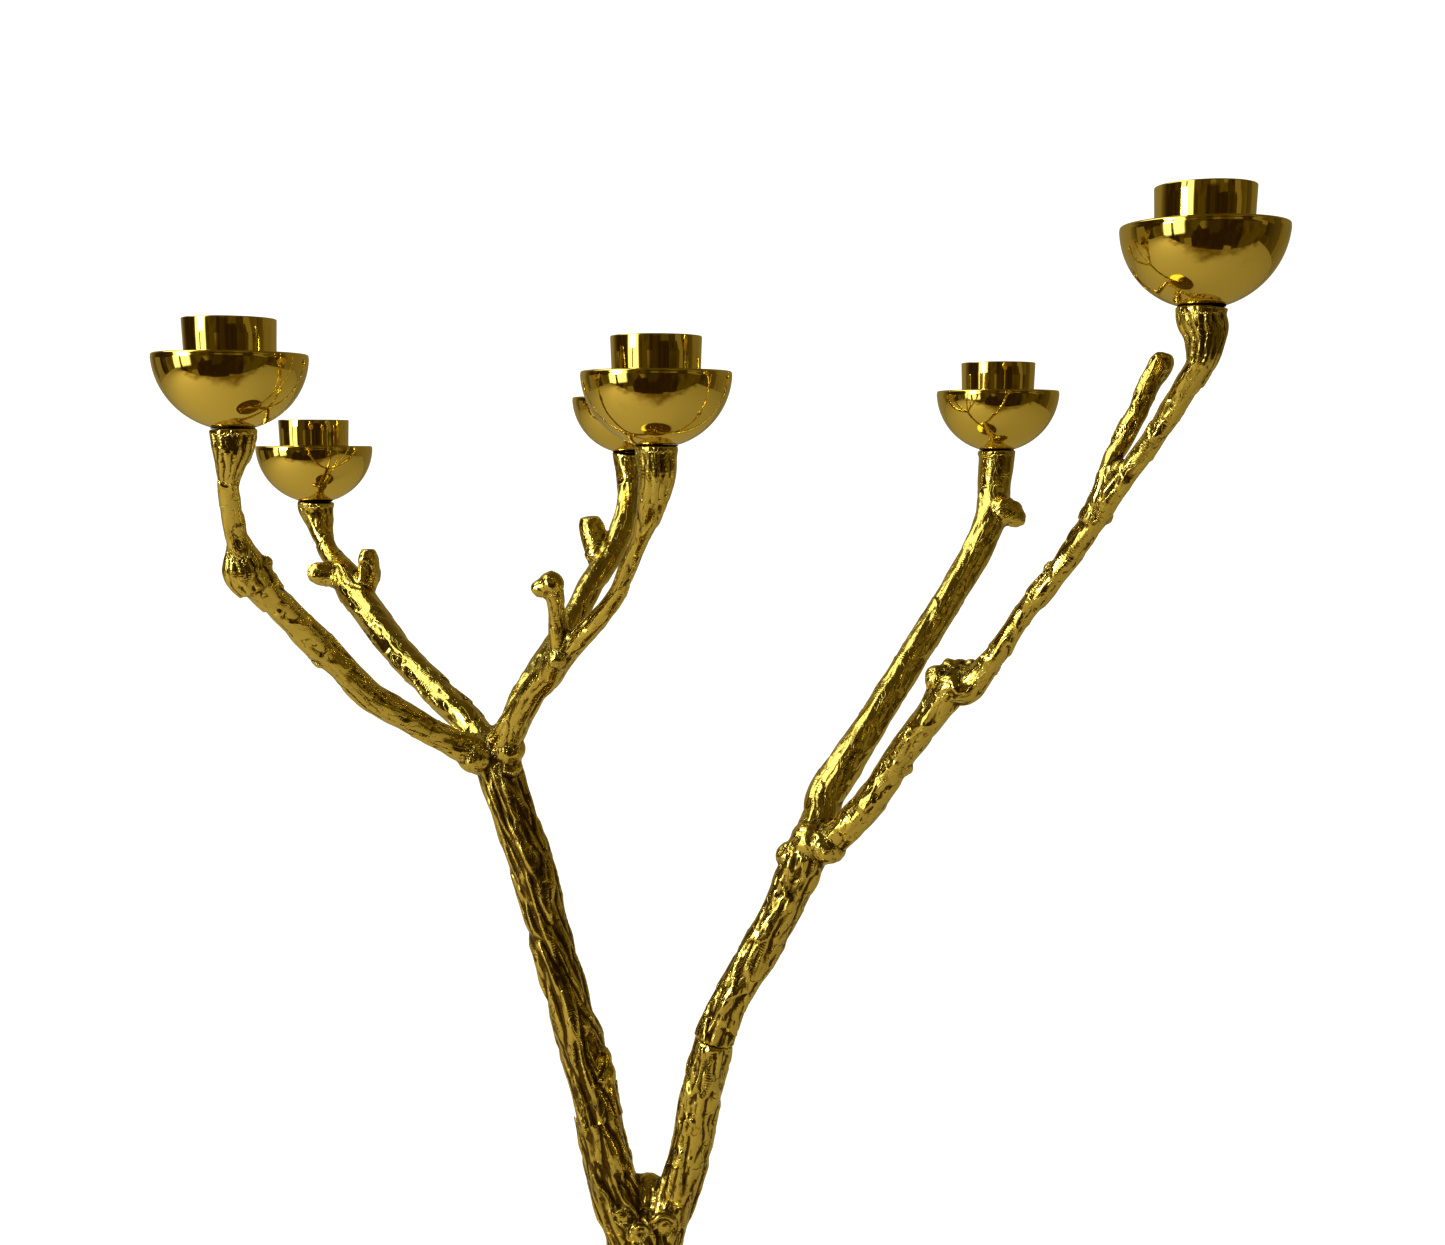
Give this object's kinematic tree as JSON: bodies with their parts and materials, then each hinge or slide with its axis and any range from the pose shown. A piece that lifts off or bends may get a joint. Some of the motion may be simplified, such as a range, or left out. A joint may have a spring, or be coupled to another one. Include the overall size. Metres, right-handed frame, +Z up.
{
  "type": "tabletop candelabra",
  "caption": "Branch-shaped cast brass tabletop candelabra with hemispherical drip bowls, plain candle sockets and a low round base.",
  "frame": {"origin": "centre of the felt underside of the base, on the table", "axes": "+Z up along the trunk; +X to the viewer's right, towards the tallest arm; -Y towards the viewer"},
  "size_m": [0.33, 0.241, 0.448],
  "materials": {
    "cast_brass": "sand-cast, hand-chased bark relief, polished on the high spots with brown patina left in the recesses",
    "polished_brass": "turned and mirror-polished, with fine hairline scratches",
    "black_fibre": "matt black fibre washer",
    "steel": "zinc-plated threaded fastener",
    "felt": "dark green pressed wool felt"
  },
  "bodies": {
    "root": {"base_dome": "polished_brass", "base_felt": "felt", "base_bolt": "steel", "base_washer": "steel", "trunk": "cast_brass", "left_limb": "cast_brass", "right_limb": "cast_brass", "left_limb_stud": "steel", "right_limb_stud": "steel", "arm_right_front": "cast_brass", "arm_peg_right_front": "steel", "cup_stud_right_front": "steel", "cup_washer_right_front": "black_fibre", "arm_left_front": "cast_brass", "arm_peg_left_front": "steel", "cup_stud_left_front": "steel", "cup_washer_left_front": "black_fibre", "arm_centre_front": "cast_brass", "arm_peg_centre_front": "steel", "cup_stud_centre_front": "steel", "cup_washer_centre_front": "black_fibre", "arm_right_rear": "cast_brass", "arm_peg_right_rear": "steel", "cup_stud_right_rear": "steel", "cup_washer_right_rear": "black_fibre", "arm_left_rear": "cast_brass", "arm_peg_left_rear": "steel", "cup_stud_left_rear": "steel", "cup_washer_left_rear": "black_fibre", "arm_centre_rear": "cast_brass", "arm_peg_centre_rear": "steel", "cup_stud_centre_rear": "steel", "cup_washer_centre_rear": "black_fibre"},
    "cup_right_front": {"drip_bowl_right_front": "polished_brass", "candle_socket_right_front": "polished_brass"},
    "cup_left_front": {"drip_bowl_left_front": "polished_brass", "candle_socket_left_front": "polished_brass"},
    "cup_centre_front": {"drip_bowl_centre_front": "polished_brass", "candle_socket_centre_front": "polished_brass"},
    "cup_right_rear": {"drip_bowl_right_rear": "polished_brass", "candle_socket_right_rear": "polished_brass"},
    "cup_left_rear": {"drip_bowl_left_rear": "polished_brass", "candle_socket_left_rear": "polished_brass"},
    "cup_centre_rear": {"drip_bowl_centre_rear": "polished_brass", "candle_socket_centre_rear": "polished_brass"}
  },
  "joints": [
    {"name": "cup_turn_right_front", "type": "hinge", "parent": "root", "child": "cup_right_front", "pos_m": [0.152, -0.088, 0.438], "axis": [0, 0, 1], "continuous": true},
    {"name": "cup_turn_left_front", "type": "hinge", "parent": "root", "child": "cup_left_front", "pos_m": [-0.118, -0.055, 0.406], "axis": [0, 0, 1], "continuous": true},
    {"name": "cup_turn_centre_front", "type": "hinge", "parent": "root", "child": "cup_centre_front", "pos_m": [0.005, -0.056, 0.401], "axis": [0, 0, 1], "continuous": true},
    {"name": "cup_turn_right_rear", "type": "hinge", "parent": "root", "child": "cup_right_rear", "pos_m": [0.124, 0.061, 0.399], "axis": [0, 0, 1], "continuous": true},
    {"name": "cup_turn_left_rear", "type": "hinge", "parent": "root", "child": "cup_left_rear", "pos_m": [-0.134, 0.097, 0.379], "axis": [0, 0, 1], "continuous": true},
    {"name": "cup_turn_centre_rear", "type": "hinge", "parent": "root", "child": "cup_centre_rear", "pos_m": [-0.013, 0.109, 0.398], "axis": [0, 0, 1], "continuous": true}
  ]
}
